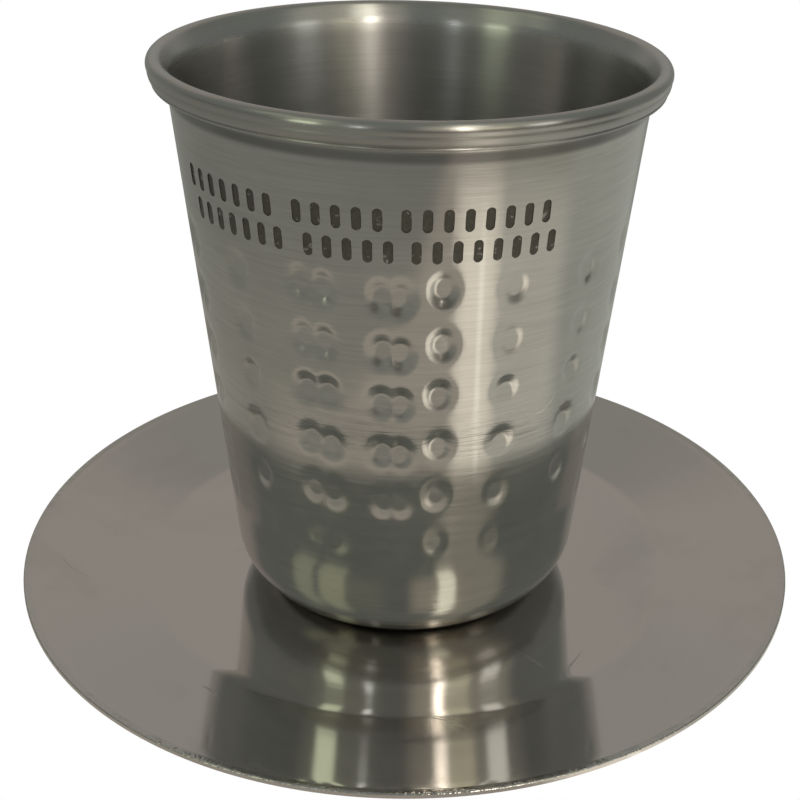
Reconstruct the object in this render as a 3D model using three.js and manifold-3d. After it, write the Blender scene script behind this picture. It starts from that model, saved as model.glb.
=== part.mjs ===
// A kiddush cup of brushed stainless steel, standing on its own saucer.
//
// The cup is one drawn and spun sheet: a plain tapered wall, a rounded bottom corner and a rim that
// is flared, turned over and pressed shut into a narrow band. Six rows of small round dimples are
// struck into the lower wall, and above them runs a band of shallow cut strokes in three groups.
// The saucer is a thin pressed disc with a flat well and a gently rising rim. The cup rests in the
// well and lifts off.
//
// Units are millimetres, +Z is up. The origin is the middle of the saucer's underside. The front,
// with the middle of the stroke band, faces -Y, and angles round the cup run from there towards +X.

import * as THREE from 'three';
import { mergeVertices } from 'three/addons/utils/BufferGeometryUtils.js';
import Module from 'manifold-3d';

// ---- driving dimensions ----------------------------------------------------------------------

const TURN = 52;                  // facets round the cup and the saucer

// saucer
const SAUCER_R = 55;              // outer radius
const SHEET = 0.7;                // thickness of the saucer's sheet
const WELL_R = 36.2;              // where the flat well starts to bend up
const WELL_BEND_R = 38.8;         // where the bend becomes the straight slope
const SAUCER_H = 4.5;             // height of the edge's upper side

// cup
const CUP_OFFSET = [-0.7, -0.4];  // how far the cup's axis stands from the saucer's middle
const CUP_FOOT = SHEET;           // height of the cup's underside, on the floor of the well
const WALL = 0.8;                 // thickness of the cup's wall and bottom
const WALL_R = 23.62;             // outer radius of the wall, carried down to the underside
const TAPER = 0.0991;             // how much the outer radius grows for each unit of height
const CORNER = 7.6;               // outer radius of the rounded bottom corner
const FOOT_DISH_R = 13.5;         // radius of the shallow dish in the underside
const FOOT_DISH = 0.35;           // depth of that dish

// rim
const LIP_R = 32.1;               // radius at which the rounded lip is centred
const LIP_Z = 75.0;               // height of that centre
const LIP = 1.0;                  // radius of the lip's section
const FLARE_Z = 73.0;             // where the inside starts to flare out to the lip
const BAND_R = 33.0;              // outer radius of the band under the lip
const BAND_TOP = 74.5;
const BAND_FOOT = 72.75;          // underside of the band
const BAND_EDGE = 0.4;            // how far its lower edge is rounded in
const LINE = 0.18;                // depth of the fine line between the lip and the band
const NECK_Z = 72.0;              // where the wall meets the fillet under the band
const NECK = 0.45;                // radius of that fillet

// dimples
const DIMPLE_FLOOR_R = 1.05;      // half the width of a dimple's flat floor
const DIMPLE_MOUTH_R = 1.9;       // half the width of its mouth
const DIMPLE_TALL = 1.25;         // how much taller a dimple is than it is wide
const DIMPLE_DEPTH = 0.4;
const DIMPLE_SIDES = 6;
const DIMPLE_ROWS = 6;
const DIMPLE_TOP_Z = 54.5;        // height of the top row
const DIMPLE_ROW_STEP = 7.3;      // from one row down to the next
// Struck by hand, so the columns aren't evenly spaced: each has its angle in degrees, how far it
// sits above its row, and the angle between its two blows where it was struck twice. Two blows run
// together into one wider dimple.
const DIMPLE_COLUMNS = [
  [-45.3, -0.3, 0], [-23.3, 0.4, 5.6], [-4.2, -0.2, 4.2], [8.0, 0.7, 0], [25.6, 0.3, 0],
  [48.8, 0, 0], [70.0, 0.5, 0], [93.5, 0.2, 5.0], [117.0, -0.2, 0], [139.0, 0.4, 0],
  [162.5, 0, 4.4], [-174.0, 0.3, 0], [-149.0, -0.3, 5.6], [-122.5, 0.2, 0], [-98.5, 0.4, 0],
  [-70.0, 0, 4.8],
];

// cut strokes: two rows, in three groups round the front
const STROKE_W = 1.15;
const STROKE_H = 2.85;
const STROKE_DEPTH = 0.25;
const STROKE_ROWS_Z = [63.9, 60.0];
const STROKE_STEP = 4.6;          // angle from one stroke to the next, in degrees
const STROKE_SHIFT = 0.5;         // how far the lower row is set along, in steps
const STROKE_GROUPS = [[-60.6, 7], [-25.4, 5], [-0.8, 8]];  // first angle and count of each group

const REACH = 0.35;               // how far a cutting tool stands out of the wall

// ---- helpers ---------------------------------------------------------------------------------

const wasm = await Module();
wasm.setup();

const radians = THREE.MathUtils.degToRad;
const point = (r, z) => new THREE.Vector2(r, z);

// a run of points on a circle in the profile plane, from one angle to another
function arc(centreR, centreZ, radius, from, to, steps) {
  const points = [];
  for (let i = 0; i <= steps; i += 1) {
    const a = radians(from + ((to - from) * i) / steps);
    points.push(point(centreR + radius * Math.cos(a), centreZ + radius * Math.sin(a)));
  }
  return points;
}

// turns a profile of (radius, height) points round the Z axis
function turned(profile) {
  return new THREE.LatheGeometry(profile, TURN).rotateX(Math.PI / 2);
}

// a closed geometry as a solid that can be cut
function toSolid(geometry) {
  const bare = geometry.clone();
  bare.deleteAttribute('normal');
  bare.deleteAttribute('uv');
  const merged = mergeVertices(bare, 1e-5);
  const index = merged.index.array;
  const triVerts = [];
  for (let i = 0; i < index.length; i += 3) {
    const [a, b, c] = [index[i], index[i + 1], index[i + 2]];
    if (a !== b && b !== c && c !== a) triVerts.push(a, b, c);
  }
  const vertProperties = merged.attributes.position.array;
  const mesh = new wasm.Mesh({ numProp: 3, vertProperties, triVerts: new Uint32Array(triVerts) });
  return new wasm.Manifold(mesh);
}

function toGeometry(solid) {
  const { vertProperties, triVerts } = solid.getMesh();
  const geometry = new THREE.BufferGeometry();
  geometry.setAttribute('position', new THREE.BufferAttribute(vertProperties, 3));
  geometry.setIndex(new THREE.BufferAttribute(triVerts, 1));
  geometry.computeVertexNormals();
  return geometry;
}

// ---- the cup ---------------------------------------------------------------------------------

const LEAN = Math.atan(TAPER);    // how far the wall leans out
const wallRadius = (z) => WALL_R + TAPER * (z - CUP_FOOT);

// The outside and the inside share the bottom corner's centre, so the wall keeps its thickness.
const cornerZ = CUP_FOOT + CORNER;
const cornerR = wallRadius(cornerZ) - CORNER / Math.cos(LEAN);
const innerWallRadius = (z) => wallRadius(z) - WALL / Math.cos(LEAN);

function cupProfile() {
  const lean = THREE.MathUtils.radToDeg(LEAN);
  const flare = Math.atan2(LIP_Z - FLARE_Z, LIP_R - innerWallRadius(FLARE_Z));
  const reach = Math.hypot(LIP_Z - FLARE_Z, LIP_R - innerWallRadius(FLARE_Z));
  const touch = THREE.MathUtils.radToDeg(flare + Math.PI - Math.acos(LIP / reach));
  return [
    point(0, CUP_FOOT + FOOT_DISH),
    point(FOOT_DISH_R - 1.5, CUP_FOOT + FOOT_DISH),
    point(FOOT_DISH_R, CUP_FOOT),
    ...arc(cornerR, cornerZ, CORNER, -90, -lean, 5),
    point(wallRadius(NECK_Z), NECK_Z),
    ...arc(wallRadius(NECK_Z) + NECK, BAND_FOOT - NECK, NECK, 165, 90, 2),
    point(BAND_R - BAND_EDGE, BAND_FOOT),
    point(BAND_R - BAND_EDGE / 3, BAND_FOOT + BAND_EDGE),
    point(BAND_R, (BAND_FOOT + BAND_TOP) / 2 + 0.4),
    point(BAND_R - 0.03, BAND_TOP),
    point(BAND_R - LINE, BAND_TOP + 0.15),
    ...arc(LIP_R, LIP_Z, LIP, -10, touch, 5),
    point(innerWallRadius(FLARE_Z), FLARE_Z),
    ...arc(cornerR, cornerZ, CORNER - WALL, -lean, -90, 3),
    point(0, CUP_FOOT + WALL),
  ];
}

// moves a tool that is built round +Z, with its tip at the origin, onto the wall: +Z then points
// straight out of the leaning wall at this angle and height
function placeOnWall(tool, angle, z) {
  return tool
    .rotateX(Math.PI / 2 + LEAN)
    .translate(0, -wallRadius(z), z)
    .rotateZ(radians(angle));
}

// a blunt punch: flat at its tip, widening through the mouth, and spread sideways for two blows
function dimpleTool(spread) {
  const widening = (DIMPLE_MOUTH_R - DIMPLE_FLOOR_R) / DIMPLE_DEPTH;
  const outer = DIMPLE_MOUTH_R + widening * REACH;
  const length = DIMPLE_DEPTH + REACH;
  return new THREE.CylinderGeometry(outer, DIMPLE_FLOOR_R, length, DIMPLE_SIDES)
    .rotateX(Math.PI / 2)
    .translate(0, 0, length / 2 - DIMPLE_DEPTH)
    .scale(1 + spread / (2 * DIMPLE_MOUTH_R), DIMPLE_TALL, 1);
}

// a narrow bar with blunt round ends
function strokeTool() {
  const half = STROKE_W / 2;
  const straight = STROKE_H / 2 - half;
  const outline = [];
  for (const end of [1, -1]) {
    for (const a of [0, 90, 180]) {
      const turn = radians(end > 0 ? a : a + 180);
      outline.push(point(half * Math.cos(turn), end * straight + half * Math.sin(turn)));
    }
  }
  return new THREE.ExtrudeGeometry(new THREE.Shape(outline), {
    depth: STROKE_DEPTH + REACH,
    bevelEnabled: false,
  }).translate(0, 0, -STROKE_DEPTH);
}

function cupTools() {
  const tools = [];
  for (const [angle, lift, twin] of DIMPLE_COLUMNS) {
    for (let row = 0; row < DIMPLE_ROWS; row += 1) {
      const z = DIMPLE_TOP_Z + lift - row * DIMPLE_ROW_STEP;
      const spread = radians(twin) * wallRadius(z);
      tools.push(placeOnWall(dimpleTool(spread), angle, z));
    }
  }
  for (const [first, count] of STROKE_GROUPS) {
    STROKE_ROWS_Z.forEach((z, row) => {
      for (let i = 0; i < count; i += 1) {
        const angle = first + (i + row * STROKE_SHIFT) * STROKE_STEP;
        tools.push(placeOnWall(strokeTool(), angle, z));
      }
    });
  }
  return tools;
}

function makeCup() {
  const blank = toSolid(turned(cupProfile()));
  const cuts = wasm.Manifold.union(cupTools().map(toSolid));
  return toGeometry(blank.subtract(cuts));
}

// ---- the saucer ------------------------------------------------------------------------------

function makeSaucer() {
  const slope = (SAUCER_H - SHEET) / (SAUCER_R - (WELL_R + WELL_BEND_R) / 2);
  const down = SHEET * Math.hypot(1, slope);
  const bendZ = (WELL_BEND_R - (WELL_R + WELL_BEND_R) / 2) * slope;
  const profile = [
    point(0, 0),
    point(WELL_R, 0),
    point((WELL_R + WELL_BEND_R) / 2, bendZ / 3),
    point(WELL_BEND_R, bendZ),
    point(SAUCER_R, SAUCER_H - down),
    point(SAUCER_R, SAUCER_H),
    point(WELL_BEND_R, bendZ + SHEET),
    point((WELL_R + WELL_BEND_R) / 2, bendZ / 3 + SHEET),
    point(WELL_R, SHEET),
    point(0, SHEET),
  ];
  return turned(profile);
}

// ---- the object ------------------------------------------------------------------------------

const brushedSteel = new THREE.MeshStandardMaterial({
  name: 'brushed_steel',
  color: 0x8c867c,
  roughness: 0.32,
  metalness: 1,
});

const polishedSteel = new THREE.MeshStandardMaterial({
  name: 'polished_steel',
  color: 0x8a867e,
  roughness: 0.06,
  metalness: 1,
});

const cup = new THREE.Mesh(makeCup(), brushedSteel);
cup.name = 'cup';
cup.position.set(...CUP_OFFSET, 0);

const saucer = new THREE.Mesh(makeSaucer(), polishedSteel);
saucer.name = 'saucer';

const kiddushCup = new THREE.Group();
kiddushCup.name = 'kiddush_cup';
kiddushCup.add(cup, saucer);

export default kiddushCup;
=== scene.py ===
"""A kiddush cup of brushed stainless steel, standing on its polished saucer.

Every size is in metres. The cup and the saucer are turned from their profiles round the axes that
the frame gives them. The cup's dimples are struck and its strokes are cut afterwards.
"""

import math
import random

import bmesh
import bpy
from bpy.props import FloatProperty, FloatVectorProperty, IntProperty, PointerProperty
from mathutils import Matrix, Vector, noise
from mathutils.kdtree import KDTree


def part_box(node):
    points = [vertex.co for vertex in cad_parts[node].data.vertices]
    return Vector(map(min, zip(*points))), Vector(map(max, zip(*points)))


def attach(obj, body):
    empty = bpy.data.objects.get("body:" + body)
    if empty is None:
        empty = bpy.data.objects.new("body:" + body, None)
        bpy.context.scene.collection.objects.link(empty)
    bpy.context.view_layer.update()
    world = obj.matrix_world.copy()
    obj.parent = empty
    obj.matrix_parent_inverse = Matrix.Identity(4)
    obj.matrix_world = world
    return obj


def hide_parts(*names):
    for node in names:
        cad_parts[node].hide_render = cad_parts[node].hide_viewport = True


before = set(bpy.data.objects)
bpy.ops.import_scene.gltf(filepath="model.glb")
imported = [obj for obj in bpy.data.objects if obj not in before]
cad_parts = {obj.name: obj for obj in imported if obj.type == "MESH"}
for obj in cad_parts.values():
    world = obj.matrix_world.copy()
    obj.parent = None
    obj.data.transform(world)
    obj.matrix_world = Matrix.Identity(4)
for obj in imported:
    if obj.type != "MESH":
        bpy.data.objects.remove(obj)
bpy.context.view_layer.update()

bl_info = {
    "name": "Kiddush Cup",
    "version": (1, 0, 0),
    "blender": (4, 5, 0),
    "location": "View3D > Sidebar > Kiddush Cup",
    "description": "Makes a kiddush cup of brushed steel, its polished saucer and a plain stage",
    "category": "Add Mesh",
}

MM = 0.001

# where the frame puts the cup and the saucer
CUP_LOW, CUP_HIGH = (Vector(corner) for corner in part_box("cup"))
SAUCER_LOW, SAUCER_HIGH = (Vector(corner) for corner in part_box("saucer"))
CUP_AXIS = (CUP_LOW + CUP_HIGH) / 2
CUP_AXIS.z = 0.0
SAUCER_AXIS = (SAUCER_LOW + SAUCER_HIGH) / 2
SAUCER_AXIS.z = 0.0
CUP_FOOT = CUP_LOW.z
CUP_TOP = CUP_HIGH.z
CUP_RIM_R = (CUP_HIGH.x - CUP_LOW.x) / 2
SAUCER_R = (SAUCER_HIGH.x - SAUCER_LOW.x) / 2
SAUCER_TOP = SAUCER_HIGH.z

# The dimples were struck by hand, so the columns aren't evenly spaced. Each has its angle from the
# front in degrees, how far it sits above its row in millimetres, the angle between its two blows
# where it was struck twice, how many millimetres the second blow sits below the first, and how
# hard it was struck.
DIMPLE_COLUMNS = (
    (-45.3, -0.3, 0, 0, 0.85), (-23.3, 0.4, 5.6, 0.15, 1), (-4.2, -0.2, 4.2, 0.25, 1),
    (8.0, 0.7, 0, 0, 1), (25.6, 0.3, 0, 0, 0.62), (48.8, 0, 0, 0, 0.8), (70.0, 0.5, 0, 0, 1),
    (93.5, 0.2, 5.0, -0.1, 0.9), (117.0, -0.2, 0, 0, 1), (139.0, 0.4, 0, 0, 0.7),
    (162.5, 0, 4.4, 0.2, 1), (-174.0, 0.3, 0, 0, 0.9), (-149.0, -0.3, 5.6, -0.15, 1),
    (-122.5, 0.2, 0, 0, 0.75), (-98.5, 0.4, 0, 0, 1), (-70.0, 0, 4.8, 0.1, 0.9),
)
# From the top row down: how hard the row was struck, the two lowest more lightly, and how much
# deeper its floors get towards their tops.
ROW_FORCE = (1.0, 1.0, 1.0, 1.0, 0.64, 0.26)
ROW_LEAN = (0.0, 0.02, 0.12, 0.15, 0.0, 0.0)
# No two blows are quite alike. They stray this many degrees round the cup and this many
# millimetres up or down, and their floors slope a little. TWIN_SLOPE is how much the floors of two
# blows side by side slope apart, and BLOW_SHARE the least and greatest share of the full depth.
BLOW_TURN = 0.25
BLOW_SHIFT = 0.12
BLOW_SLOPE = 0.03
TWIN_SLOPE = 0.09
BLOW_SHARE = (0.88, 1.1)
BLOW_SEED = 5
# how far the dimpled part of the wall reaches past the middles of its outer rows
DIMPLE_MARGIN = 3.6 * MM
# how fast a dimple's side comes back up from its floor, where 1 would be a straight cone
DIMPLE_EASE = 1.7
# how far past a dimple's mouth the wall's faces are halved, the first time and the second
REFINE_REACHES = (0.45 * MM, -0.35 * MM)
# how far under the wall's outer surface a point still belongs to it
SKIN = 0.4 * MM
# the share of the full depth from which on the steel counts as fully struck
STRUCK_FULL = 0.4
# how far the inside rises behind a dimple, as a share of its depth
INSIDE_RISE = 0.25

# first angle and number of cut strokes in each group
STROKE_GROUPS = ((-60.6, 7), (-25.4, 5), (-0.8, 8))
# how far a stroke's outline strays sideways and lengthways, as a share of its size
STROKE_ROUGH = (0.045, 0.012)
STROKE_STEPS = 28
STROKE_SEED = 11
# how far the cutting tools stand out of the wall
TOOL_REACH = 0.4 * MM

# The rim, measured inwards from its edge and down from its top: the fillet under the band, the
# turned-under hem, the band with its fine line from the hem up to the lip, in millimetres, and the
# flare inside the lip, with how far its foot stands out from the wall.
FILLET_DOWN = 4.05 * MM
FILLET_R = 0.55 * MM
HEM_IN = 0.72 * MM
HEM_DOWN = 3.12 * MM
HEM_R = 0.17 * MM
BAND_OUTLINE = (
    (0.50, 2.80), (0.34, 2.55), (0.22, 2.25), (0.15, 1.95),
    (0.13, 1.75), (0.16, 1.62), (0.12, 1.48), (0.05, 1.30),
)
LIP_R = 1.0 * MM
FLARE_DOWN = 2.2 * MM
FLARE_OUT = 0.15 * MM
# the rise of the shallow dish under the cup
DISH_RISE = 0.35 * MM
# points of a turned shell that are closer together than this become one
MERGE_GAP = 0.0002 * MM
# edges bent more sharply than this are shaded as creases
CREASE = math.radians(50)
# the cup's second and third material, and how far down from the top the third one starts
FILL_SLOT = 1
INSIDE_SLOT = 2
INSIDE_DOWN = 1.2 * MM

# How the two sides of the cup's sheet are finished: the least and greatest roughness of the steel,
# where the finish near the lip begins and how much rougher it is, and how much of the steel's
# brightness is left on the darker lip and in the neck under the band, darkened there as painted
# shade.
OUTSIDE = {"gloss": (0.09, 0.14), "lip_from": CUP_TOP - 3.0 * MM, "lip_dull": 0.20,
           "lip_tone_left": 0.84, "neck_shade_left": 0.46}
INSIDE = {"gloss": (0.28, 0.36), "lip_from": CUP_TOP - FLARE_DOWN, "lip_dull": -0.08,
          "lip_tone_left": 1.0, "neck_shade_left": 1.0}
# how often a brush line changes on its way round the cup, and the lines in a metre of height
FINE_LINES = (3.0, 3800.0)
COARSE_LINES = (2.4, 1500.0)
SCORED_LINES = (1.5, 1350.0)
# where the wall is scored more deeply: the middle's height, the reach to either side, the strength
SCORED_RINGS = ((35.5 * MM, 5.0 * MM, 14.0), (5.0 * MM, 5.0 * MM, 11.0))
# how strongly the brush lines draw the shine out, and the turn that draws it up and down
BRUSH_PULL = 0.85
BRUSH_TURN = 0.25
# the darkest and brightest tone of the brushed steel, as shares of its colour
BRUSHED_TONES = (0.89, 1.07)
# the middle of the painted shade on the neck under the band, down from the top, and where it
# thins out and ends
NECK_DOWN = 4.65 * MM
NECK_FADE = (0.25 * MM, 1.05 * MM)
# how much roughness is added at the base, at its sole, in struck places, in the gouge and along
# the scored ridges
BASE_DULL = 0.05
SOLE_DULL = 0.02
BLOW_DULL = 0.06
SCAR_DULL = 0.2
SCORED_DULL = 0.03
# The gouge on the wall is part of a circle: the angle and height of its middle, its radius, the
# wall's radius there, how far its line wavers, the half width of its bright line and where that
# line has faded out, and its colour, which paints a glint along the gouge.
SCAR_AT = math.radians(37.5)
SCAR_Z = 39.6 * MM
SCAR_R = 3.8 * MM
SCAR_WALL_R = 37.0 * MM
SCAR_WAVER = 0.5 * MM
SCAR_LINE = (0.04 * MM, 0.15 * MM)
SCAR_GLINT_COLOUR = (0.86, 0.82, 0.76, 1)
# roughness of the fill in the strokes and of the saucer, and the depths of their fine unevenness
FILL_GLOSS = (0.42, 0.62)
FILL_GRAIN = 0.015 * MM
SAUCER_GLOSS = (0.07, 0.13)
HAIRLINE_DEPTH = 0.0006 * MM
NICK_DEPTH = 0.25 * MM
# the half width of a scratch on the saucer, as a step of the noise that leads it, and its dullness
SCRATCH_WIDTH = (0.001, 0.004)
SCRATCH_DULL = 0.3

# What the steel mirrors. The room is a dome whose colour changes between two elevations. Each soft
# panel in it has its middle and half width as angles from the front, its lowest and highest
# elevation, the softness of its sides in degrees, and its colour.
ROOM_CHANGE = (10, 60)
ROOM_LOW = (0.225, 0.235, 0.22)
ROOM_HIGH = (0.238, 0.262, 0.24)
ROOM_PANELS = (
    (180, 34, 8, 58, 12, (0.385, 0.375, 0.345)),
    (-160, 30, 28, 52, 9, (0.43, 0.395, 0.365)),
    (180, 40, 41, 72, 4, (0.34, 0.333, 0.304)),
    (-75, 32, -5, 9, 10, (0.11, 0.12, 0.11)),
    (-38, 20, 6, 50, 8, (0.33, 0.34, 0.29)),
    (52, 20, 5, 80, 8, (0.50, 0.49, 0.42)),
    (24, 18, 4, 54, 7, (0.58, 0.55, 0.47)),
    (75, 16, -5, 9, 8, (0.12, 0.13, 0.13)),
    (-78, 8, 36, 58, 1.5, (0.50, 0.53, 0.42)),
    (-55, 10, 36, 60, 1.5, (0.58, 0.62, 0.47)),
    (33, 9, 6, 29, 3.0, (1.10, 1.05, 0.80)),
    (31, 6, 38, 61, 1.5, (1.9, 1.92, 1.6)),
    (22.5, 3.6, 5, 42, 1.5, (3.2, 2.95, 2.6)),
    (35, 60, -9, 4, 3.0, (0.12, 0.118, 0.105)),
    (22.5, 1.4, 8, 40, 0.8, (6.5, 6.0, 5.3)),
    (-45, 6, 3, 26, 1.5, (1.35, 1.50, 1.12)),
    (-22, 2, 9, 26, 1.0, (1.9, 2.0, 2.0)),
    (57, 6, 5, 26, 2.0, (1.45, 1.46, 1.36)),
)
# The table top, which glows for the steel to mirror, changes its colour between two distances from
# the cup's axis. The warm mat on it has one straight edge, given by the direction across it and its
# distance, and fills a sector of the table, given as middle, half width and softness. The patches,
# painted pools of window light and darker stretches on the table, are given as the panels are, but
# with their nearest and farthest distance in millimetres in place of the elevations.
TABLE_NEAR = (0.32, 0.31, 0.27)
TABLE_FAR = (0.25, 0.255, 0.23)
TABLE_CHANGE = (60 * MM, 160 * MM)
MAT_ACROSS = (0.737, 0.676, 0.0)
MAT_EDGE = -73.7 * MM
MAT_SOFT = 3.0 * MM
MAT_SECTOR = (10, 75, 12)
MAT_COLOUR = (0.44, 0.405, 0.35)
PATCH_SOFT = 12 * MM
TABLE_LIGHT_PATCHES = (
    (95, 50, 0, 400, 12, (0.42, 0.43, 0.39)),
    (52, 24, 0, 156, 8, (0.60, 0.585, 0.515)),
    (52, 24, 156, 400, 8, (0.36, 0.35, 0.30)),
    (30.5, 5.5, 0, 152, 8, (1.10, 1.02, 0.88)),
    (33, 0.9, 0, 130, 0.8, (1.35, 1.28, 1.12)),
    (28, 7, 154, 300, 6, (0.46, 0.43, 0.38)),
    (45, 50, 205, 9000, 6, (0.125, 0.12, 0.105)),
)

# the width of the camera's sensor in millimetres, and its shift, which centres the view
SENSOR = 36
SHIFT = (-0.102, -0.0701)


class CupSizes(bpy.types.PropertyGroup):
    """Sizes of the cup"""

    wall: FloatProperty(
        name="Wall", description="Thickness of the wall and the bottom",
        default=0.8 * MM, subtype="DISTANCE", unit="LENGTH")
    wall_radius: FloatProperty(
        name="Wall radius", description="Outer radius of the wall, carried down to the underside",
        default=23.62 * MM, subtype="DISTANCE", unit="LENGTH")
    taper: FloatProperty(
        name="Taper", description="How much the outer radius grows for each unit of height",
        default=0.0991)
    corner: FloatProperty(
        name="Bottom corner", description="Outer radius of the rounded bottom corner",
        default=7.6 * MM, subtype="DISTANCE", unit="LENGTH")
    dish: FloatProperty(
        name="Foot dish", description="Radius of the shallow dish in the underside",
        default=13.5 * MM, subtype="DISTANCE", unit="LENGTH")
    facets: IntProperty(
        name="Facets", description="Steps round the cup before the dimples are refined",
        default=192, min=48)
    dimple_floor: FloatProperty(
        name="Dimple floor", description="Half the width of a dimple's flat floor",
        default=1.03 * MM, subtype="DISTANCE", unit="LENGTH")
    dimple_mouth: FloatProperty(
        name="Dimple mouth", description="Half the width of a dimple's mouth",
        default=2.5 * MM, subtype="DISTANCE", unit="LENGTH")
    dimple_tall: FloatProperty(
        name="Dimple height", description="How much taller a dimple is than it is wide",
        default=1.25)
    dimple_depth: FloatProperty(
        name="Dimple depth", description="Depth of a dimple at its middle",
        default=0.4 * MM, subtype="DISTANCE", unit="LENGTH")
    dimple_rows: IntProperty(
        name="Dimple rows", description="Rows of dimples, from the top one down",
        default=6, min=1)
    dimple_top: FloatProperty(
        name="Top row", description="Height of the top row of dimples",
        default=54.5 * MM, subtype="DISTANCE", unit="LENGTH")
    dimple_step: FloatProperty(
        name="Row step", description="Distance from one row of dimples down to the next",
        default=7.3 * MM, subtype="DISTANCE", unit="LENGTH")
    stroke_width: FloatProperty(
        name="Stroke width", description="Width of a cut stroke",
        default=1.15 * MM, subtype="DISTANCE", unit="LENGTH")
    stroke_height: FloatProperty(
        name="Stroke height", description="Height of a cut stroke",
        default=2.85 * MM, subtype="DISTANCE", unit="LENGTH")
    stroke_depth: FloatProperty(
        name="Stroke depth", description="Depth of a cut stroke",
        default=0.12 * MM, subtype="DISTANCE", unit="LENGTH")
    stroke_row: FloatProperty(
        name="Upper stroke row", description="Height of the upper row of strokes",
        default=63.9 * MM, subtype="DISTANCE", unit="LENGTH")
    stroke_row_step: FloatProperty(
        name="Stroke row step", description="Distance from the upper row of strokes to the lower",
        default=3.9 * MM, subtype="DISTANCE", unit="LENGTH")
    stroke_step: FloatProperty(
        name="Stroke step", description="Angle from one stroke to the next",
        default=math.radians(4.6), subtype="ANGLE", unit="ROTATION")


class SaucerSizes(bpy.types.PropertyGroup):
    """Sizes of the saucer"""

    sheet: FloatProperty(
        name="Sheet", description="Thickness of the saucer's sheet",
        default=0.7 * MM, subtype="DISTANCE", unit="LENGTH")
    well: FloatProperty(
        name="Well", description="Radius at which the flat well starts to bend up",
        default=36.2 * MM, subtype="DISTANCE", unit="LENGTH")
    bend: FloatProperty(
        name="Bend", description="Radius at which the bend becomes the straight slope",
        default=38.8 * MM, subtype="DISTANCE", unit="LENGTH")
    waver: FloatProperty(
        name="Waver", description="How far the pressed sheet wavers from its true shape",
        default=0.02 * MM, subtype="DISTANCE", unit="LENGTH")
    facets: IntProperty(
        name="Facets", description="Steps round the saucer", default=256, min=48)


class Finishes(bpy.types.PropertyGroup):
    """Colours and finishes"""

    brushed: FloatVectorProperty(
        name="Brushed steel", description="Colour of the cup's steel",
        default=(0.56, 0.545, 0.515), size=3, min=0, max=1, subtype="COLOR")
    # the inside's colour is darker than the outside's: painted shade inside the cup, on top of its
    # duller finish
    inside: FloatVectorProperty(
        name="Steel inside", description="Colour of the duller steel inside the cup",
        default=(0.475, 0.468, 0.455), size=3, min=0, max=1, subtype="COLOR")
    polished: FloatVectorProperty(
        name="Polished steel", description="Colour of the saucer's steel",
        default=(0.57, 0.55, 0.525), size=3, min=0, max=1, subtype="COLOR")
    fill: FloatVectorProperty(
        name="Stroke fill", description="Colour of the dark fill in the strokes",
        default=(0.075, 0.068, 0.055), size=3, min=0, max=1, subtype="COLOR")
    brush: FloatProperty(
        name="Brush depth", description="Depth of the brush lines round the cup",
        default=0.004 * MM, subtype="DISTANCE", unit="LENGTH")


class StageSettings(bpy.types.PropertyGroup):
    """The floor and the camera"""

    floor: FloatVectorProperty(
        name="Floor", description="Colour of the pale floor",
        default=(1.0, 1.0, 1.0), size=3, min=0, max=1, subtype="COLOR")
    floor_size: FloatProperty(
        name="Floor size", description="Length of the floor's side",
        default=6.0, subtype="DISTANCE", unit="LENGTH")
    distance: FloatProperty(
        name="Camera distance", description="How far the camera stands in front of the cup's axis",
        default=172.75 * MM, subtype="DISTANCE", unit="LENGTH")
    height: FloatProperty(
        name="Camera height", description="How high the camera stands over the floor",
        default=115.95 * MM, subtype="DISTANCE", unit="LENGTH")
    pitch: FloatProperty(
        name="Camera pitch", description="How far the camera looks down",
        default=0.437, subtype="ANGLE", unit="ROTATION")
    yaw: FloatProperty(
        name="Camera yaw", description="How far the camera turns to its right",
        default=0.059, subtype="ANGLE", unit="ROTATION")
    roll: FloatProperty(
        name="Camera roll", description="How far the camera leans",
        default=0.039, subtype="ANGLE", unit="ROTATION")
    lens: FloatProperty(
        name="Lens", description="Focal length in millimetres", default=61.54)


# ---- helpers for the shapes -----------------------------------------------------------------


def arc(centre, radius, start, end, steps):
    """Points (radius, height) on a circle in the profile plane, between two angles in degrees."""
    points = []
    for i in range(steps + 1):
        a = math.radians(start + (end - start) * i / steps)
        points.append((centre[0] + radius * math.cos(a), centre[1] + radius * math.sin(a)))
    return points


def straight(start, end, pitch):
    """Points from one end of a line to the other, about a pitch apart, without the first."""
    count = max(1, round(math.dist(start, end) / pitch))
    return [tuple(a + (b - a) * i / count for a, b in zip(start, end)) for i in range(1, count + 1)]


def turn_profile(points, axis, steps):
    """Spins a profile that starts and ends on the axis into a closed shell."""
    bm = bmesh.new()
    verts = [bm.verts.new((axis.x, axis.y - r, z)) for r, z in points]
    edges = [bm.edges.new(pair) for pair in zip(verts, verts[1:])]
    bmesh.ops.spin(bm, geom=verts + edges, cent=axis, axis=(0, 0, 1), angle=2 * math.pi,
                   steps=steps, use_merge=True, use_duplicate=False)
    bmesh.ops.remove_doubles(bm, verts=bm.verts, dist=MERGE_GAP)
    bmesh.ops.recalc_face_normals(bm, faces=bm.faces)
    return bm


def finish_piece(name, bm, body, node, slot, *materials):
    """Makes a smooth-shaded object of a mesh and gives it its place in the frame."""
    mesh = bpy.data.meshes.new(name)
    bm.to_mesh(mesh)
    bm.free()
    mesh.shade_smooth()
    piece = bpy.data.objects.new(name, mesh)
    bpy.context.scene.collection.objects.link(piece)
    for material in materials:
        mesh.materials.append(material)
    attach(piece, body)
    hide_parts(node)
    return piece


# ---- the cup --------------------------------------------------------------------------------


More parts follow.
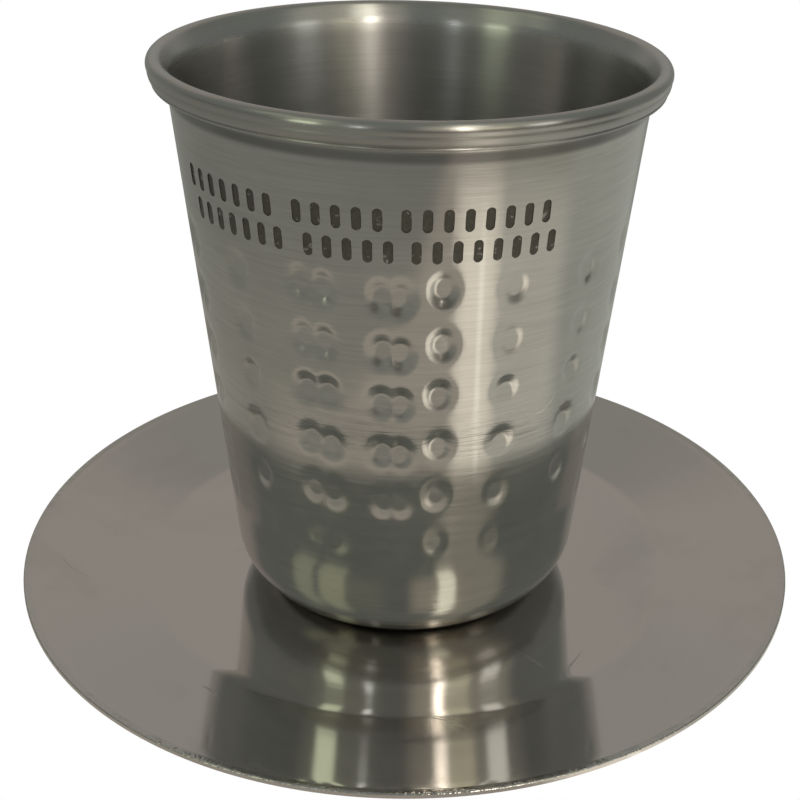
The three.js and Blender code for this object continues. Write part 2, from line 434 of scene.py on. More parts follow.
class CupShape:
    """The cup's outlines and its dimples, worked out from its sizes."""

    def __init__(self, sizes):
        self.sizes = sizes
        self.lean = math.atan(sizes.taper)
        self.corner_z = CUP_FOOT + sizes.corner
        self.corner_r = self.outer(self.corner_z) - sizes.corner / math.cos(self.lean)
        self.top_of_dimples = sizes.dimple_top + DIMPLE_MARGIN
        self.foot_of_dimples = (sizes.dimple_top - (sizes.dimple_rows - 1) * sizes.dimple_step
                                - DIMPLE_MARGIN)
        self.blows = []
        draw = random.Random(BLOW_SEED)
        for angle, lift, twin, drop, force in DIMPLE_COLUMNS:
            for row in range(sizes.dimple_rows):
                z = sizes.dimple_top + lift * MM - row * sizes.dimple_step
                for side in ((-0.5, 0.5) if twin else (0,)):
                    turn = draw.uniform(-BLOW_TURN, BLOW_TURN)
                    at = math.radians(angle + side * twin + turn)
                    blow_z = z - (side + 0.5 if twin else 0) * drop * MM
                    blow_z += draw.uniform(-BLOW_SHIFT, BLOW_SHIFT) * MM
                    lean_aside = side * TWIN_SLOPE + draw.uniform(-BLOW_SLOPE, BLOW_SLOPE)
                    lean_up = ROW_LEAN[row % len(ROW_LEAN)]
                    lean_up += draw.uniform(-BLOW_SLOPE, BLOW_SLOPE)
                    depth = sizes.dimple_depth * force * ROW_FORCE[row % len(ROW_FORCE)]
                    depth *= draw.uniform(*BLOW_SHARE)
                    self.blows.append((at, blow_z, lean_aside, lean_up, depth))
        self.tree = KDTree(len(self.blows))
        for i, (at, z, *_) in enumerate(self.blows):
            self.tree.insert(self.on_wall(at, z), i)
        self.tree.balance()

    def outer(self, z):
        """The wall's outer radius at a height."""
        return self.sizes.wall_radius + self.sizes.taper * (z - CUP_FOOT)

    def inner(self, z):
        """The wall's inner radius at a height."""
        return self.outer(z) - self.sizes.wall / math.cos(self.lean)

    def on_wall(self, angle, z):
        """The point on the wall's outside at an angle from the front and a height."""
        r = self.outer(z)
        return CUP_AXIS + Vector((r * math.sin(angle), -r * math.cos(angle), z))

    def profile(self):
        """Outside from the middle of the underside up, over the lip and down the inside."""
        sizes = self.sizes
        lean = math.degrees(self.lean)
        corner = (self.corner_r, self.corner_z)
        rim = CUP_RIM_R
        top = CUP_TOP
        dish_z = CUP_FOOT + DISH_RISE
        neck_z = top - FILLET_DOWN
        points = [(0.0, dish_z)]
        points += straight(points[-1], (sizes.dish - 2.2 * MM, dish_z), 2.4 * MM)
        points += [(sizes.dish - 1.4 * MM, dish_z - 0.05 * MM),
                   (sizes.dish - 0.7 * MM, CUP_FOOT + 0.1 * MM), (sizes.dish, CUP_FOOT)]
        points += arc(corner, sizes.corner, -90, -lean, 14)
        for z, pitch in ((self.foot_of_dimples, 1.0 * MM), (self.top_of_dimples, 1.0 * MM),
                         (neck_z, 2.0 * MM)):
            points += straight(points[-1], (self.outer(z), z), pitch)
        # the fillet under the band, its turned-under hem, the band with its fine line, and the lip
        neck_r = self.outer(neck_z)
        points += arc((neck_r + FILLET_R, neck_z + 0.1 * MM), FILLET_R, 165, 95, 5)
        points += arc((rim - HEM_IN, top - HEM_DOWN), HEM_R, -85, 62, 7)
        points += [(rim - inwards * MM, top - down * MM) for inwards, down in BAND_OUTLINE]
        flare_z = top - FLARE_DOWN
        flare_r = self.inner(flare_z) + FLARE_OUT
        lip = (rim - LIP_R, top - LIP_R)
        reach = math.dist(lip, (flare_r, flare_z))
        flare = math.atan2(lip[1] - flare_z, lip[0] - flare_r)
        touch = math.degrees(flare + math.pi - math.acos(LIP_R / reach))
        points += arc(lip, LIP_R, -8, touch, 16)
        # down the flare and through the soft bend at its foot
        points += straight(points[-1], (flare_r + 0.18 * MM, flare_z + 0.28 * MM), 0.5 * MM)
        points += [(flare_r + 0.06 * MM, flare_z + 0.05 * MM),
                   (flare_r - 0.07 * MM, flare_z - 0.3 * MM),
                   (self.inner(flare_z - 0.8 * MM), flare_z - 0.8 * MM)]
        points += straight(points[-1], (self.inner(self.corner_z), self.corner_z), 1.5 * MM)[:-1]
        points += arc(corner, sizes.corner - sizes.wall, -lean, -90, 12)
        points += straight(points[-1], (0.0, CUP_FOOT + sizes.wall), 3.0 * MM)
        return points

    def struck(self, point):
        """How deep the wall is struck at a point, and how far off the nearest blow is."""
        sizes = self.sizes
        radial = point - CUP_AXIS
        angle = math.atan2(radial.x, -radial.y)
        depth = 0.0
        nearest = math.inf
        for _, i, gap in self.tree.find_n(point, 2):
            if gap > 2 * sizes.dimple_mouth:
                continue
            at, z, lean_aside, lean_up, full = self.blows[i]
            r = self.outer(z)
            aside = (angle - at + math.pi) % (2 * math.pi) - math.pi
            across = aside * r
            up = (point.z - z) / sizes.dimple_tall
            far = math.hypot(across, up)
            nearest = min(nearest, far)
            rise = (far - sizes.dimple_floor) / (sizes.dimple_mouth - sizes.dimple_floor)
            if rise >= 1:
                continue
            # the floor is flat, so the round wall's own fall to either side is left out of it
            flat = full - r * (1 - math.cos(aside))
            flat += lean_aside * across + lean_up * (point.z - z)
            share = 1.0 if rise <= 0 else (1 - rise) ** DIMPLE_EASE
            depth = max(depth, flat * share)
        return depth, nearest


def cut_strokes(bm, shape):
    """Cuts the three groups of blunt strokes into the wall, in two rows."""
    sizes = shape.sizes
    draw = random.Random(STROKE_SEED)
    tools = bmesh.new()
    for first, count in STROKE_GROUPS:
        for row in range(2):
            for i in range(count):
                z = sizes.stroke_row - row * sizes.stroke_row_step
                angle = math.radians(first) + (i + 0.5 * row) * sizes.stroke_step
                add_stroke_tool(tools, shape, angle, z, draw)
    carve(bm, tools)


def add_stroke_tool(tools, shape, angle, z, draw):
    """A bar with round ends and slightly rough sides, standing across the wall's surface."""
    sizes = shape.sizes
    half = sizes.stroke_width / 2
    made = bmesh.ops.create_circle(tools, cap_ends=True, radius=half, segments=STROKE_STEPS)
    verts = made["verts"]
    middle = sizes.stroke_height / 2 - half
    aside, along = STROKE_ROUGH
    for vert in verts:
        vert.co.y += math.copysign(middle, vert.co.y) if abs(vert.co.y) > 1e-9 else 0.0
        vert.co.x *= 1 + draw.uniform(-aside, aside)
        vert.co.y *= 1 + draw.uniform(-along, along)
        vert.co.z = -sizes.stroke_depth
    face = next(f for f in verts[0].link_faces if len(f.verts) == len(verts))
    out = bmesh.ops.extrude_face_region(tools, geom=[face])
    lifted = [g for g in out["geom"] if isinstance(g, bmesh.types.BMVert)]
    bmesh.ops.translate(tools, verts=lifted, vec=(0, 0, sizes.stroke_depth + TOOL_REACH))
    place = (Matrix.Translation(CUP_AXIS) @ Matrix.Rotation(angle, 4, "Z")
             @ Matrix.Translation((0, -shape.outer(z), z))
             @ Matrix.Rotation(math.pi / 2 + shape.lean, 4, "X"))
    bmesh.ops.transform(tools, matrix=place, verts=verts + lifted)


def carve(bm, tools):
    """Takes the tools out of the blank. The cut faces keep the tools' second material."""
    bmesh.ops.recalc_face_normals(tools, faces=tools.faces)
    for face in tools.faces:
        face.material_index = FILL_SLOT
    scene = bpy.context.scene
    objects = []
    for name, source in (("blank", bm), ("strokes", tools)):
        mesh = bpy.data.meshes.new(name)
        source.to_mesh(mesh)
        # two empty slots, without which the cut would drop the material numbers
        mesh.materials.append(None)
        mesh.materials.append(None)
        objects.append(bpy.data.objects.new(name, mesh))
        scene.collection.objects.link(objects[-1])
    blank, strokes = objects
    cut = blank.modifiers.new("cut", "BOOLEAN")
    cut.operation = "DIFFERENCE"
    cut.solver = "EXACT"
    cut.material_mode = "INDEX"
    cut.object = strokes
    bpy.context.view_layer.update()
    ready = blank.evaluated_get(bpy.context.evaluated_depsgraph_get())
    bm.clear()
    bm.from_mesh(ready.to_mesh())
    ready.to_mesh_clear()
    tools.free()
    for piece in objects:
        mesh = piece.data
        bpy.data.objects.remove(piece)
        bpy.data.meshes.remove(mesh)


def refine_dimples(bm, shape):
    """Halves the wall's faces round each dimple, twice, where it will bend most."""
    sizes = shape.sizes
    low = shape.foot_of_dimples - 1.0 * MM
    high = shape.top_of_dimples + 1.0 * MM
    for past in REFINE_REACHES:
        reach = sizes.dimple_mouth + past
        near = set()
        for face in bm.faces:
            middle = face.calc_center_median()
            if not low < middle.z < high:
                continue
            radial = math.hypot(middle.x - CUP_AXIS.x, middle.y - CUP_AXIS.y)
            if radial < shape.outer(middle.z) - SKIN:
                continue
            if shape.struck(middle)[1] < reach:
                near.update(face.edges)
        bmesh.ops.subdivide_edges(bm, edges=list(near), cuts=1, use_grid_fill=True)


def strike_dimples(bm, shape):
    """Sinks the wall under each blow, and notes where its steel is struck."""
    sizes = shape.sizes
    struck = bm.verts.layers.float.new("struck")
    low = shape.foot_of_dimples - 1.5 * MM
    high = shape.top_of_dimples + 1.5 * MM
    for vert in bm.verts:
        if not low < vert.co.z < high:
            continue
        radial = vert.co - CUP_AXIS
        height = radial.z
        radial.z = 0
        if radial.length > shape.outer(height) - SKIN:
            depth, _ = shape.struck(vert.co)
            radius = shape.outer(height) - depth
            vert[struck] = min(1.0, max(0.0, depth / (STRUCK_FULL * sizes.dimple_depth)))
        else:
            wall = CUP_AXIS + radial.normalized() * shape.outer(height) + Vector((0, 0, height))
            depth, _ = shape.struck(wall)
            radius = shape.inner(height) - INSIDE_RISE * depth
        vert.co = CUP_AXIS + radial.normalized() * radius + Vector((0, 0, height))


def give_inside_its_finish(bm):
    """The inside below the lip is brushed more coarsely than the outside."""
    bm.normal_update()
    for face in bm.faces:
        middle = face.calc_center_median()
        away = middle - CUP_AXIS
        away.z = 0
        inwards = face.normal.dot(away) < 0 or face.normal.z > 0.5
        if face.material_index == 0 and inwards and middle.z < CUP_TOP - INSIDE_DOWN:
            face.material_index = INSIDE_SLOT


class MESH_OT_kiddush_cup(bpy.types.Operator):
    """Turn the cup, cut its strokes and strike its dimples"""

    bl_idname = "mesh.kiddush_cup"
    bl_label = "Cup"
    bl_options = {"REGISTER", "UNDO"}

    def execute(self, context):
        shape = CupShape(context.scene.kiddush_cup)
        bm = turn_profile(shape.profile(), CUP_AXIS, shape.sizes.facets)
        cut_strokes(bm, shape)
        refine_dimples(bm, shape)
        strike_dimples(bm, shape)
        give_inside_its_finish(bm)
        finishes = context.scene.kiddush_finishes
        cup = finish_piece(
            "brushed_cup", bm, "root", "cup", "brushed_steel",
            brushed_steel("brushed_steel", finishes.brushed, finishes.brush, **OUTSIDE),
            stroke_fill(finishes),
            # the inside's darker colour is painted shade inside the cup
            brushed_steel("brushed_inside_shaded", finishes.inside, finishes.brush, **INSIDE))
        cup.data.set_sharp_from_angle(angle=CREASE)
        return {"FINISHED"}


# ---- the saucer -----------------------------------------------------------------------------


def saucer_profile(sizes):
    """The underside from the middle out, round the edge and back over the top."""
    middle = (sizes.well + sizes.bend) / 2
    slope = (SAUCER_TOP - sizes.sheet) / (SAUCER_R - middle)
    lean = math.atan(slope)
    sheet = sizes.sheet
    bend_r = (sizes.bend - middle) / math.tan(lean / 2)
    turn = math.degrees(lean)
    down = sheet / math.cos(lean)
    under = [(0.0, 0.0)]
    under += straight(under[-1], (sizes.well, 0.0), 2.5 * MM)[:-1]
    under += arc((sizes.well, bend_r), bend_r, -90, -90 + turn, 8)
    round_off = 0.16 * MM
    edge_z = SAUCER_TOP - down
    under += straight(under[-1], (SAUCER_R - 0.3 * MM, edge_z - 0.3 * MM * slope), 2.5 * MM)
    under += arc((SAUCER_R - round_off, edge_z + round_off), round_off, -70, 0, 4)
    under += arc((SAUCER_R - 0.2 * MM, SAUCER_TOP - 0.2 * MM), 0.2 * MM, 8, 90 + turn, 6)
    over = arc((sizes.well - sheet * math.tan(lean / 2), bend_r), bend_r - sheet,
               -90 + turn, -90, 8)
    under += straight(under[-1], over[0], 2.0 * MM)[:-1]
    under += over
    under += straight(under[-1], (0.0, sheet), 2.5 * MM)
    return under


class MESH_OT_kiddush_saucer(bpy.types.Operator):
    """Turn the saucer with its flat well and its gently rising rim"""

    bl_idname = "mesh.kiddush_saucer"
    bl_label = "Saucer"
    bl_options = {"REGISTER", "UNDO"}

    def execute(self, context):
        sizes = context.scene.kiddush_saucer
        bm = turn_profile(saucer_profile(sizes), SAUCER_AXIS, sizes.facets)
        for vert in bm.verts:
            away = vert.co - SAUCER_AXIS
            share = max(0.0, math.hypot(away.x, away.y) - sizes.bend) / (SAUCER_R - sizes.bend)
            wave = noise.noise(Vector((away.x, away.y, 0)) / (16 * MM))
            vert.co.z += sizes.waver * (wave - 0.6) * share
        finish_piece("polished_saucer", bm, "root", "saucer", "polished_steel",
                     polished_steel(context.scene.kiddush_finishes))
        return {"FINISHED"}


# ---- finishes -------------------------------------------------------------------------------


class Nodes:
    """A short way to lay out and link the nodes of a material or of the world."""

    def __init__(self, owner):
        self.owner = owner
        owner.use_nodes = True
        self.tree = owner.node_tree
        self.shader = self.tree.nodes.get("Principled BSDF")

    def add(self, kind, **settings):
        node = self.tree.nodes.new(kind)
        for key, value in settings.items():
            setattr(node, key, value)
        return node

    def link(self, out, into):
        self.tree.links.new(out, into)

    def fill(self, socket, value):
        """Links a socket's output, or sets a plain value."""
        if isinstance(value, bpy.types.NodeSocket):
            self.link(value, socket)
        else:
            socket.default_value = value

    def centred(self, axis):
        """Places on the piece, measured from an axis."""
        place = self.add("ShaderNodeTexCoord").outputs["Object"]
        mapping = self.add("ShaderNodeMapping")
        mapping.inputs["Location"].default_value = -axis
        self.link(place, mapping.inputs["Vector"])
        return mapping.outputs["Vector"]

    def maths(self, operation, a, b=0.0):
        node = self.add("ShaderNodeMath", operation=operation)
        self.fill(node.inputs[0], a)
        self.fill(node.inputs[1], b)
        return node.outputs[0]

    def vector(self, operation, a, b=(0.0, 0.0, 0.0), out="Vector"):
        node = self.add("ShaderNodeVectorMath", operation=operation)
        self.fill(node.inputs[0], a)
        self.fill(node.inputs[1], b)
        return node.outputs[out]

    def apart(self, vector):
        """The three numbers of a vector, by their names X, Y and Z."""
        split = self.add("ShaderNodeSeparateXYZ")
        self.link(vector, split.inputs[0])
        return split.outputs

    def level(self, vector):
        """A vector without its height."""
        return self.vector("MULTIPLY", vector, (1.0, 1.0, 0.0))

    def length(self, vector):
        return self.vector("LENGTH", vector, out="Value")

    def noise(self, vector, scale, detail=2.0, rough=0.5, distortion=0.0):
        node = self.add("ShaderNodeTexNoise", noise_dimensions="3D")
        self.link(vector, node.inputs["Vector"])
        for key, value in (("Scale", scale), ("Detail", detail), ("Roughness", rough),
                           ("Distortion", distortion)):
            node.inputs[key].default_value = value
        return node.outputs["Fac"]

    def spread(self, value, low, high, to_low=0.0, to_high=1.0, smooth=False):
        """Maps the range from low to high onto another one and holds it outside."""
        node = self.add("ShaderNodeMapRange",
                        interpolation_type="SMOOTHSTEP" if smooth else "LINEAR")
        self.fill(node.inputs["Value"], value)
        for key, number in (("From Min", low), ("From Max", high), ("To Min", to_low),
                            ("To Max", to_high)):
            self.fill(node.inputs[key], number)
        return node.outputs["Result"]

    def blend(self, factor, a, b):
        node = self.add("ShaderNodeMix", data_type="RGBA")
        self.fill(node.inputs["Factor"], factor)
        self.fill(node.inputs["A"], a)
        self.fill(node.inputs["B"], b)
        return node.outputs["Result"]

    def bump(self, height, distance, normal=None):
        node = self.add("ShaderNodeBump")
        node.inputs["Strength"].default_value = 1.0
        node.inputs["Distance"].default_value = distance
        self.link(height, node.inputs["Height"])
        if normal:
            self.link(normal, node.inputs["Normal"])
        return node.outputs["Normal"]


def around(nodes, axis, turns, lines):
    """A vector that runs slowly round the axis and fast up it, for lines left by a lathe."""
    centred = nodes.centred(axis)
    flat = nodes.level(centred)
    round_it = nodes.vector("SCALE", nodes.vector("NORMALIZE", flat))
    round_it.node.inputs["Scale"].default_value = turns
    height = nodes.apart(centred)["Z"]
    climb = nodes.maths("ADD", height, nodes.length(flat))
    up = nodes.add("ShaderNodeCombineXYZ")
    nodes.link(nodes.maths("MULTIPLY", climb, lines), up.inputs["Z"])
    return nodes.vector("ADD", round_it, up.outputs[0]), centred, height


def tinted(colour, factor):
    """A colour made darker or brighter, as a node takes it."""
    return tuple(min(1.0, c * factor) for c in colour) + (1.0,)


def scar(nodes, centred):
    """One where a short curved gouge lies on the wall, with a painted glint along it."""
    place = nodes.apart(centred)
    turned = nodes.maths("ARCTAN2", place["X"], nodes.maths("MULTIPLY", place["Y"], -1.0))
    along = nodes.maths("MULTIPLY", nodes.maths("SUBTRACT", turned, SCAR_AT), SCAR_WALL_R)
    above = nodes.maths("SUBTRACT", place["Z"], SCAR_Z)
    waver = nodes.maths("MULTIPLY", nodes.noise(centred, 700.0), SCAR_WAVER)
    reach = nodes.maths("SQRT", nodes.maths("ADD", nodes.maths("MULTIPLY", along, along),
                                            nodes.maths("MULTIPLY", above, above)))
    off = nodes.maths("ABSOLUTE", nodes.maths("SUBTRACT", nodes.maths("ADD", reach, waver),
                                              SCAR_R + SCAR_WAVER / 2))
    thin = nodes.spread(off, *SCAR_LINE, 1.0, 0.0, smooth=True)
    # only the lower right of the circle is there
    span = nodes.maths("MULTIPLY", nodes.spread(along, -0.8 * MM, -0.3 * MM),
                       nodes.spread(along, 2.9 * MM, 3.5 * MM, 1.0, 0.0))
    low = nodes.spread(above, -0.5 * MM, 0.0, 1.0, 0.0)
    return nodes.maths("MULTIPLY", nodes.maths("MULTIPLY", thin, span), low)


def score(nodes, height):
    """Deeper lines in rings round the wall, where it was worked most."""
    scored, _, _ = around(nodes, CUP_AXIS, *SCORED_LINES)
    uneven = nodes.maths("SUBTRACT", nodes.noise(scored, 1.0, 4.0, 0.65), 0.5)
    ridges = 0.0
    for ring_z, reach, strength in SCORED_RINGS:
        gap = nodes.maths("ABSOLUTE", nodes.maths("SUBTRACT", height, ring_z))
        worked = nodes.spread(gap, 0.8 * MM, reach, strength, 0.0, smooth=True)
        ridges = nodes.maths("ADD", nodes.maths("MULTIPLY", uneven, worked), ridges)
    return ridges


def brushed_steel(name, colour, brush, gloss, lip_from, lip_dull, lip_tone_left, neck_shade_left):
    """Steel brushed on a lathe, so its shine is drawn out up and down the wall."""
    nodes = Nodes(bpy.data.materials.new(name))
    shader = nodes.shader
    fine, centred, height = around(nodes, CUP_AXIS, *FINE_LINES)
    coarse, _, _ = around(nodes, CUP_AXIS, *COARSE_LINES)
    fine_lines = nodes.noise(fine, 1.0, 2.0, 0.6)
    coarse_lines = nodes.noise(coarse, 1.0, 3.0, 0.6)
    patches = nodes.noise(centred, 75.0, 3.0, 0.55)
    ridges = score(nodes, height)
    lines = nodes.maths("ADD", nodes.maths("MULTIPLY", fine_lines, 0.5), coarse_lines)
    normal = nodes.bump(nodes.maths("ADD", ridges, lines), brush)
    # the colour: streaks and patches, the darker lip, the neck's painted shade and the gouge's
    # painted glint
    streaks = nodes.maths("MULTIPLY", nodes.maths("ADD", coarse_lines, fine_lines), 0.3)
    tone = nodes.spread(nodes.maths("ADD", streaks, nodes.maths("MULTIPLY", patches, 0.4)),
                        0.38, 0.62)
    metal = nodes.blend(tone, *(tinted(colour, share) for share in BRUSHED_TONES))
    # the lip's colour is made darker
    darker_lip = nodes.spread(height, CUP_TOP - 3.6 * MM, CUP_TOP - 2.9 * MM, smooth=True)
    metal = nodes.blend(darker_lip, metal, tinted(colour, lip_tone_left))
    # painted shade: the wall under the band is darkened, mottled by the patches
    off = nodes.maths("ABSOLUTE", nodes.maths("SUBTRACT", height, CUP_TOP - NECK_DOWN))
    painted_neck_shade = nodes.maths("MULTIPLY", nodes.spread(off, *NECK_FADE, 1.0, 0.0, smooth=True),
                          nodes.spread(patches, 0.3, 0.6, 0.75, 1.0))
    metal = nodes.blend(painted_neck_shade, metal, tinted(colour, neck_shade_left))
    # the gouge is a real mark; its bright colour is a painted glint
    gouge = scar(nodes, centred)
    nodes.link(nodes.blend(gouge, metal, SCAR_GLINT_COLOUR), shader.inputs["Base Color"])
    # the roughness: lines and patches, and what is duller or brighter than the wall
    rough = nodes.spread(nodes.maths("ADD", nodes.maths("MULTIPLY", fine_lines, 0.6),
                                     nodes.maths("MULTIPLY", patches, 0.4)),
                         0.35, 0.65, *gloss)
    blows = nodes.add("ShaderNodeAttribute", attribute_name="struck").outputs["Fac"]
    for change in (
            nodes.spread(height, 3.0 * MM, 10.0 * MM, BASE_DULL, 0.0, smooth=True),
            nodes.maths("MULTIPLY",
                        nodes.spread(height, lip_from - 1.2 * MM, lip_from, 0.0, lip_dull),
                        nodes.spread(height, CUP_TOP - 1.3 * MM, CUP_TOP - 0.7 * MM, 1.0, 0.55)),
            nodes.maths("MULTIPLY", blows, BLOW_DULL),
            nodes.maths("MULTIPLY", gouge, SCAR_DULL),
            nodes.spread(height, 1.2 * MM, 3.2 * MM, SOLE_DULL, 0.0, smooth=True),
            nodes.maths("MULTIPLY", ridges, SCORED_DULL)):
        rough = nodes.maths("ADD", change, rough)
    nodes.link(rough, shader.inputs["Roughness"])
    shader.inputs["Metallic"].default_value = 1.0
    shader.inputs["Anisotropic"].default_value = BRUSH_PULL
    shader.inputs["Anisotropic Rotation"].default_value = BRUSH_TURN
    tangent = nodes.add("ShaderNodeTangent", direction_type="RADIAL", axis="Z")
    nodes.link(tangent.outputs[0], shader.inputs["Tangent"])
    nodes.link(normal, shader.inputs["Normal"])
    return nodes.owner


def stroke_fill(finishes):
    """The dark fill in the strokes, chipped to bright metal here and there."""
    nodes = Nodes(bpy.data.materials.new("stroke_fill"))
    shader = nodes.shader
    centred = nodes.centred(CUP_AXIS)
    grain = nodes.noise(centred, 2600.0, 3.0, 0.6)
    chips = nodes.noise(centred, 950.0, 3.0, 0.7)
    bare = nodes.spread(chips, 0.60, 0.66, smooth=True)
    dark = nodes.blend(nodes.spread(grain, 0.3, 0.7), tinted(finishes.fill, 0.75),
                       tinted(finishes.fill, 1.35))
    nodes.link(nodes.blend(bare, dark, tinted(finishes.brushed, 0.7)), shader.inputs["Base Color"])
    nodes.link(nodes.maths("MULTIPLY", bare, 0.9), shader.inputs["Metallic"])
    nodes.link(nodes.spread(grain, 0.3, 0.7, *FILL_GLOSS), shader.inputs["Roughness"])
    nodes.link(nodes.bump(grain, FILL_GRAIN), shader.inputs["Normal"])
    return nodes.owner


def polished_steel(finishes):
    """Bright steel sheet with hairlines, faint smudges, a few scratches and a nicked edge."""
    nodes = Nodes(bpy.data.materials.new("polished_steel"))
    shader = nodes.shader
    hairs, centred, _ = around(nodes, SAUCER_AXIS, 6.0, 2600.0)
    hairlines = nodes.noise(hairs, 1.0, 2.0, 0.6)
    smudges = nodes.noise(centred, 48.0, 4.0, 0.6, 0.6)
    speckle = nodes.noise(centred, 900.0, 2.0, 0.6)
    haze = nodes.spread(smudges, 0.52, 0.72, smooth=True)
    rough = nodes.maths("ADD", nodes.spread(haze, 0.0, 1.0, *SAUCER_GLOSS),
                        nodes.spread(speckle, 0.4, 0.7, 0.0, 0.02))
    # a few fine curved scratches follow the middle of a slow noise
    wander = nodes.maths("SUBTRACT", nodes.noise(centred, 42.0, 1.0, 0.4), 0.5)
    thread = nodes.spread(nodes.maths("ABSOLUTE", wander), *SCRATCH_WIDTH, 1.0, 0.0)
    scratched = nodes.maths("MULTIPLY", thread, nodes.spread(
        nodes.noise(centred, 95.0, 2.0, 0.5), 0.60, 0.66))
    rough = nodes.maths("ADD", nodes.maths("MULTIPLY", scratched, SCRATCH_DULL), rough)
    nodes.link(rough, shader.inputs["Roughness"])
    nodes.link(nodes.blend(haze, tinted(finishes.polished, 1.0), tinted(finishes.polished, 0.94)),
               shader.inputs["Base Color"])
    shader.inputs["Metallic"].default_value = 1.0
    away = nodes.length(nodes.level(centred))
    edge = nodes.spread(away, SAUCER_R - 1.0 * MM, SAUCER_R - 0.3 * MM)
    nicks = nodes.maths("MULTIPLY", nodes.noise(centred, 520.0, 3.0, 0.6), edge)
    uneven = nodes.bump(hairlines, HAIRLINE_DEPTH)
    nodes.link(nodes.bump(nicks, NICK_DEPTH, normal=uneven), shader.inputs["Normal"])
    return nodes.owner


# ---- the stage ------------------------------------------------------------------------------


def look(camera, place, yaw, pitch, roll):
    """Turns the camera so that it looks forward along +Y, then turned, tipped and leaned."""
    camera.matrix_world = (Matrix.Translation(place) @ Matrix.Rotation(-yaw, 4, "Z")
                           @ Matrix.Rotation(math.pi / 2 - pitch, 4, "X")
                           @ Matrix.Rotation(roll, 4, "Z"))


class SCENE_OT_kiddush_stage(bpy.types.Operator):
    """Lay the pale floor, hang the soft light round it and place the camera"""

    bl_idname = "scene.kiddush_stage"
    bl_label = "Stage"
    bl_options = {"REGISTER", "UNDO"}

    def execute(self, context):
        settings = context.scene.kiddush_stage
        bm = bmesh.new()
        bmesh.ops.create_grid(bm, x_segments=1, y_segments=1, size=settings.floor_size / 2)
        mesh = bpy.data.meshes.new("floor")
        bm.to_mesh(mesh)
        bm.free()
        floor = bpy.data.objects.new("floor", mesh)
        context.scene.collection.objects.link(floor)
        mesh.materials.append(pale_floor(settings))

        context.scene.world = studio_room(settings)
        context.scene.view_settings.view_transform = "Standard"

        lens = bpy.data.cameras.new("camera")
        lens.lens = settings.lens
        lens.sensor_width = SENSOR
        lens.shift_x, lens.shift_y = SHIFT
        lens.clip_start = 5 * MM
        camera = bpy.data.objects.new("camera", lens)
        context.scene.collection.objects.link(camera)
        place = CUP_AXIS + Vector((0, -settings.distance, settings.height))
        look(camera, place, settings.yaw, settings.pitch, settings.roll)
        context.scene.camera = camera
        return {"FINISHED"}


def window(nodes, value, low, high, soft):
    """One where a value lies between two limits, falling softly to nothing outside them."""
    rise = nodes.spread(value, low - soft, low + soft, smooth=True)
    fall = nodes.spread(value, high - soft, high + soft, 1.0, 0.0, smooth=True)
    return nodes.maths("MULTIPLY", rise, fall)


def sector(nodes, aim, middle, half, soft):
    """One where a level direction lies within an angle of the middle, in degrees."""
    a = math.radians(middle)
    along = nodes.vector("DOT_PRODUCT", aim, (math.sin(a), -math.cos(a), 0.0), out="Value")
    near = math.cos(math.radians(max(0.0, half - soft)))
    return nodes.spread(along, math.cos(math.radians(min(180.0, half + soft))), near, smooth=True)


def studio_room(settings):
    """The room that the steel mirrors: a soft grey dome with soft panels hung round it."""
    nodes = Nodes(bpy.data.worlds.new("studio"))
    towards = nodes.add("ShaderNodeTexCoord").outputs["Generated"]
    height = nodes.maths("MULTIPLY", nodes.maths("ARCSINE", nodes.apart(towards)["Z"]),
                         180 / math.pi)
    aim = nodes.vector("NORMALIZE", nodes.level(towards))
    room = nodes.blend(nodes.spread(height, *ROOM_CHANGE, smooth=True),
                       (*ROOM_LOW, 1), (*ROOM_HIGH, 1))
    for middle, half, low, high, soft, colour in ROOM_PANELS:
        share = nodes.maths("MULTIPLY", sector(nodes, aim, middle, half, soft),
                            window(nodes, height, low, high, soft))
        room = nodes.blend(share, room, (*colour, 1))
    seen = nodes.add("ShaderNodeLightPath").outputs["Is Camera Ray"]
    room = nodes.blend(seen, room, (*settings.floor, 1))
    nodes.link(room, nodes.tree.nodes["Background"].inputs["Color"])
    return nodes.owner


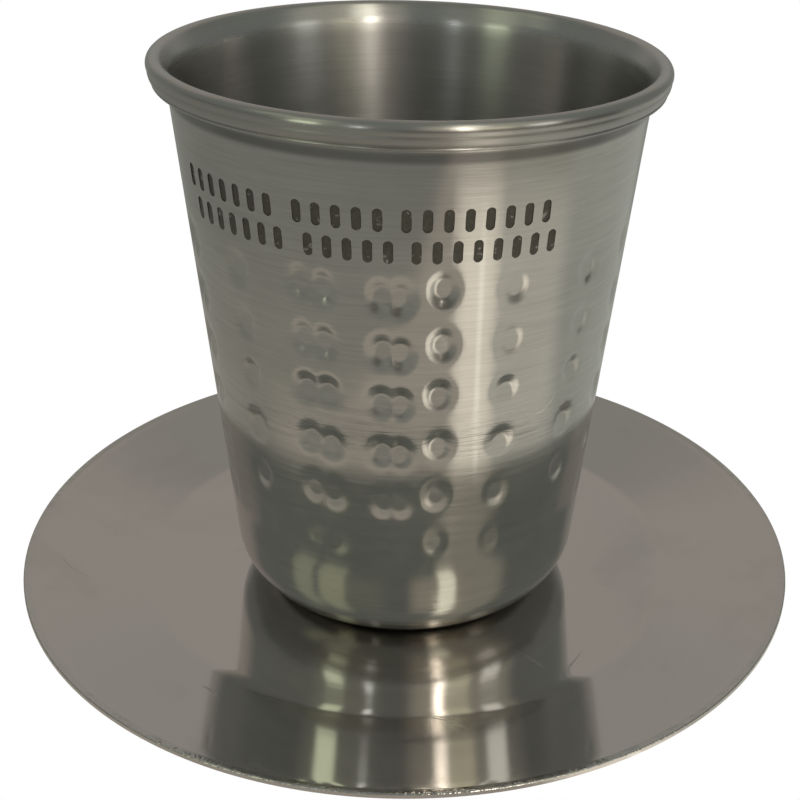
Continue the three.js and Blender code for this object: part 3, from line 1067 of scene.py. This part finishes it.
def pale_floor(settings):
    """A plain pale floor to the camera, which glows for the steel's reflections as a dimmer table
    top with a warm mat and painted pools of window light.
    """
    nodes = Nodes(bpy.data.materials.new("pale_floor"))
    nodes.tree.nodes.remove(nodes.shader)
    flat = nodes.level(nodes.centred(CUP_AXIS))
    away = nodes.length(flat)
    aim = nodes.vector("NORMALIZE", flat)
    table = nodes.blend(nodes.spread(away, *TABLE_CHANGE), (*TABLE_NEAR, 1), (*TABLE_FAR, 1))
    across = nodes.vector("DOT_PRODUCT", flat, MAT_ACROSS, out="Value")
    mat = nodes.spread(across, MAT_EDGE - MAT_SOFT, MAT_EDGE + MAT_SOFT, smooth=True)
    mat = nodes.maths("MULTIPLY", mat, sector(nodes, aim, *MAT_SECTOR))
    table = nodes.blend(mat, table, (*MAT_COLOUR, 1))
    # painted pools of window light on the glowing table top
    for middle, half, low, high, soft, colour in TABLE_LIGHT_PATCHES:
        share = nodes.maths("MULTIPLY", sector(nodes, aim, middle, half, soft),
                            window(nodes, away, low * MM, high * MM, PATCH_SOFT))
        table = nodes.blend(share, table, (*colour, 1))
    # the table glows for the steel's reflections, though the floor is no lamp
    mirrored = nodes.add("ShaderNodeEmission")
    nodes.link(table, mirrored.inputs["Color"])
    seen = nodes.add("ShaderNodeEmission")
    seen.inputs["Color"].default_value = (*settings.floor, 1)
    mix = nodes.add("ShaderNodeMixShader")
    nodes.link(nodes.add("ShaderNodeLightPath").outputs["Is Camera Ray"], mix.inputs[0])
    nodes.link(mirrored.outputs[0], mix.inputs[1])
    nodes.link(seen.outputs[0], mix.inputs[2])
    nodes.link(mix.outputs[0], nodes.tree.nodes["Material Output"].inputs["Surface"])
    return nodes.owner


# ---- the panel ------------------------------------------------------------------------------


class VIEW3D_PT_kiddush_cup(bpy.types.Panel):
    """Sizes, finishes and the steps that make the cup"""

    bl_idname = "VIEW3D_PT_kiddush_cup"
    bl_label = "Kiddush Cup"
    bl_space_type = "VIEW_3D"
    bl_region_type = "UI"
    bl_category = "Kiddush Cup"

    def draw(self, context):
        layout = self.layout
        scene = context.scene
        for title, group, operator in (
                ("Cup", scene.kiddush_cup, MESH_OT_kiddush_cup),
                ("Saucer", scene.kiddush_saucer, MESH_OT_kiddush_saucer),
                ("Finishes", scene.kiddush_finishes, None),
                ("Stage", scene.kiddush_stage, SCENE_OT_kiddush_stage)):
            box = layout.box()
            box.label(text=title)
            for key in group.__annotations__:
                box.prop(group, key)
            if operator:
                box.operator(operator.bl_idname)


CLASSES = (CupSizes, SaucerSizes, Finishes, StageSettings, MESH_OT_kiddush_cup,
           MESH_OT_kiddush_saucer, SCENE_OT_kiddush_stage, VIEW3D_PT_kiddush_cup)
GROUPS = {"kiddush_cup": CupSizes, "kiddush_saucer": SaucerSizes,
          "kiddush_finishes": Finishes, "kiddush_stage": StageSettings}


def register():
    for cls in CLASSES:
        bpy.utils.register_class(cls)
    for name, group in GROUPS.items():
        setattr(bpy.types.Scene, name, PointerProperty(type=group))


def unregister():
    for name in GROUPS:
        delattr(bpy.types.Scene, name)
    for cls in reversed(CLASSES):
        bpy.utils.unregister_class(cls)


def main():
    register()
    bpy.ops.mesh.kiddush_saucer()
    bpy.ops.mesh.kiddush_cup()
    bpy.ops.scene.kiddush_stage()


if __name__ == "__main__":
    main()
